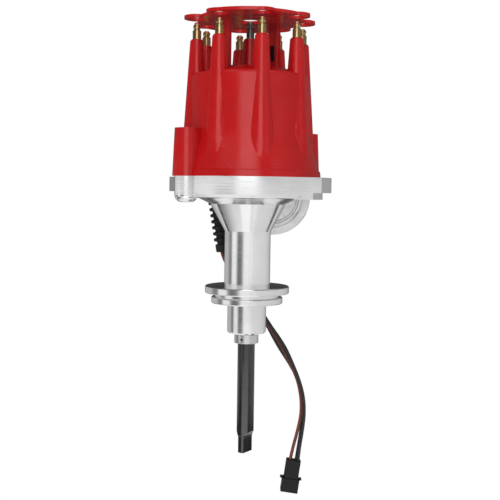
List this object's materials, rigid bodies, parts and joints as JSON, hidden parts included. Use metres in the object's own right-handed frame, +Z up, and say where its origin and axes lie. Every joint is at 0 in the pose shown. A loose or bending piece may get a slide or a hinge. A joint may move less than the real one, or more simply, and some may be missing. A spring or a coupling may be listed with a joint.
{
  "type": "ignition distributor",
  "caption": "Billet ignition distributor with a tall moulded cap and ring lead retainer, tang-driven shaft, centrifugal and vacuum advance, and a wired plug.",
  "frame": {"origin": "on the shaft axis at the underside of the lower flange, where it sits on the engine block", "axes": "+Z up the shaft to the cap, +Y towards the vacuum can, +X to the right as seen from the side away from the can"},
  "size_m": [0.1188, 0.149, 0.3546],
  "materials": {
    "housing_metal": "polished",
    "cap_plastic": "gloss",
    "screw_steel": "satin",
    "black_plastic": "satin",
    "terminal_brass": "satin",
    "coil_metal": "satin",
    "carbon": "matte",
    "spring_steel": "satin",
    "bearing_steel": "polished",
    "bush_bronze": "satin",
    "black_rubber": "matte",
    "wire_brown": "satin",
    "wire_black": "satin",
    "wire_grey": "satin",
    "pin_metal": "bright",
    "can_metal": "zinc plated",
    "shaft_steel": "black oxide",
    "collar_steel": "ground",
    "plate_steel": "zinc plated",
    "rotor_plastic": "gloss"
  },
  "bodies": {
    "housing": {"housing": "housing_metal", "cap": "cap_plastic", "cap_screws": "screw_steel", "wire_retainer": "cap_plastic", "retainer_latches": "black_plastic", "spark_terminals": "terminal_brass", "coil_terminal": "coil_metal", "centre_button": "carbon", "button_spring": "spring_steel", "bearing_outer_race": "bearing_steel", "bearing_balls": "bearing_steel", "lower_bush": "bush_bronze", "ignition_module": "black_plastic", "strain_relief": "black_rubber", "harness_wire_left": "wire_brown", "harness_wire_right": "wire_black", "harness_wire_rear": "wire_grey", "plug": "black_plastic", "plug_pins": "pin_metal", "vacuum_can_front": "can_metal", "vacuum_can_back": "can_metal", "vacuum_bracket": "can_metal", "bracket_screws": "screw_steel", "diaphragm": "black_rubber", "vacuum_spring": "spring_steel"},
    "shaft": {"shaft": "shaft_steel", "drive_collar": "collar_steel", "roll_pin": "screw_steel", "thrust_washer": "screw_steel", "shaft_spacer": "screw_steel", "bearing_inner_race": "bearing_steel", "advance_cam": "screw_steel"},
    "advance": {"advance_plate": "plate_steel", "reluctor": "plate_steel", "rotor": "rotor_plastic", "rotor_blade": "terminal_brass", "rotor_screws": "screw_steel", "advance_springs": "spring_steel"},
    "weight_a": {"advance_weight_a": "plate_steel"},
    "weight_b": {"advance_weight_b": "plate_steel"},
    "pickup": {"pickup_plate": "plate_steel", "pickup_coil": "black_plastic", "pickup_pole": "plate_steel"},
    "vacuum_link": {"vacuum_rod": "plate_steel", "diaphragm_cup": "plate_steel"}
  },
  "joints": [
    {"name": "shaft_spin", "type": "hinge", "parent": "housing", "child": "shaft", "pos_m": [0, 0, 0], "axis": [0, 0, 1], "continuous": true},
    {"name": "advance_turn", "type": "hinge", "parent": "shaft", "child": "advance", "pos_m": [0, 0, 0.11], "axis": [0, 0, 1], "range_deg": [0, 12], "stiffness_Nm_per_rad": 0.4, "deforming": ["advance_springs"]},
    {"name": "weight_a_swing", "type": "hinge", "parent": "advance", "child": "weight_a", "pos_m": [0.02163, 0.0115, 0.113], "axis": [0, 0, 1], "range_deg": [0, 15]},
    {"name": "weight_b_swing", "type": "hinge", "parent": "advance", "child": "weight_b", "pos_m": [-0.02163, -0.0115, 0.113], "axis": [0, 0, 1], "range_deg": [0, 15]},
    {"name": "vacuum_pull", "type": "slide", "parent": "housing", "child": "vacuum_link", "axis": [0, 1, 0], "range_m": [0, 0.0034], "stiffness_N_per_m": 1500, "deforming": ["vacuum_spring", "diaphragm"]},
    {"name": "pickup_turn", "type": "hinge", "parent": "housing", "child": "pickup", "pos_m": [0, 0, 0.083], "axis": [0, 0, 1], "range_deg": [0, 10]}
  ],
  "couplings": [
    {"joint": "weight_a_swing", "follows": "advance_turn", "ratio": 1.25},
    {"joint": "weight_b_swing", "follows": "advance_turn", "ratio": 1.25},
    {"joint": "pickup_turn", "follows": "vacuum_pull", "rad_per_m": 51.33}
  ]
}
